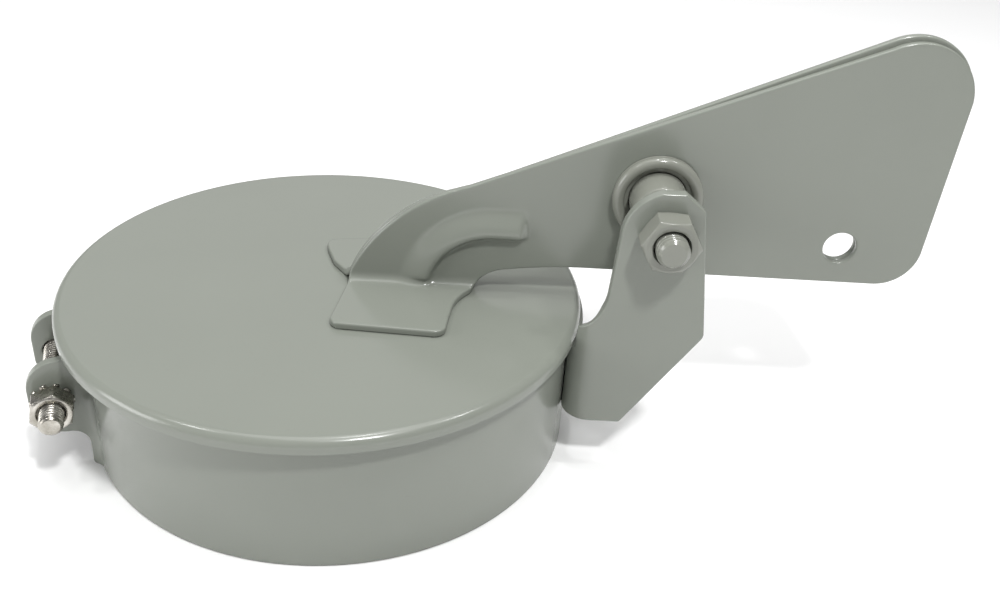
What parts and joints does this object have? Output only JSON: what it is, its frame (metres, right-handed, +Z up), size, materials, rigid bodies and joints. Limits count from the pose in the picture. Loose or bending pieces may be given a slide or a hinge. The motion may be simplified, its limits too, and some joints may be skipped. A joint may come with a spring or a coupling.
{
  "type": "exhaust stack rain cap",
  "caption": "Hinged weather cap for a round exhaust stack: split clamp band, pressed lid and twin-plate counterweight arm on a one-eared pivot bracket.",
  "frame": {"origin": "on the clamp band's axis, in the plane of its lower edge", "axes": "+Z up along the stack, +X from the stack towards the pivot and the counterweight arm, +Y to the left of that"},
  "size_m": [0.2397, 0.14, 0.118],
  "materials": {
    "primer_sheet": "satin warm-grey primer over pressed sheet steel",
    "primer_hardware": "the same primer sprayed over hex hardware",
    "zinc_hardware": "bright zinc plating"
  },
  "bodies": {
    "collar": {"clamp_band": "primer_sheet", "pivot_bracket": "primer_sheet", "clamp_bolt": "zinc_hardware", "clamp_lock_washer": "zinc_hardware", "clamp_nut": "zinc_hardware", "pivot_bolt": "primer_hardware", "pivot_nut": "primer_hardware", "pivot_washer_right": "primer_hardware", "pivot_washer_left": "primer_hardware"},
    "flap": {"lid_disc": "primer_sheet", "arm_plate_right": "primer_sheet", "arm_plate_left": "primer_sheet", "pivot_bushing": "primer_sheet", "hub_ring_right": "primer_sheet", "hub_ring_left": "primer_sheet"}
  },
  "joints": [
    {"name": "lid_pivot", "type": "hinge", "parent": "collar", "child": "flap", "pos_m": [0.0846, 0, 0.0723], "axis": [0, 1, 0], "range_deg": [0, 75]}
  ]
}
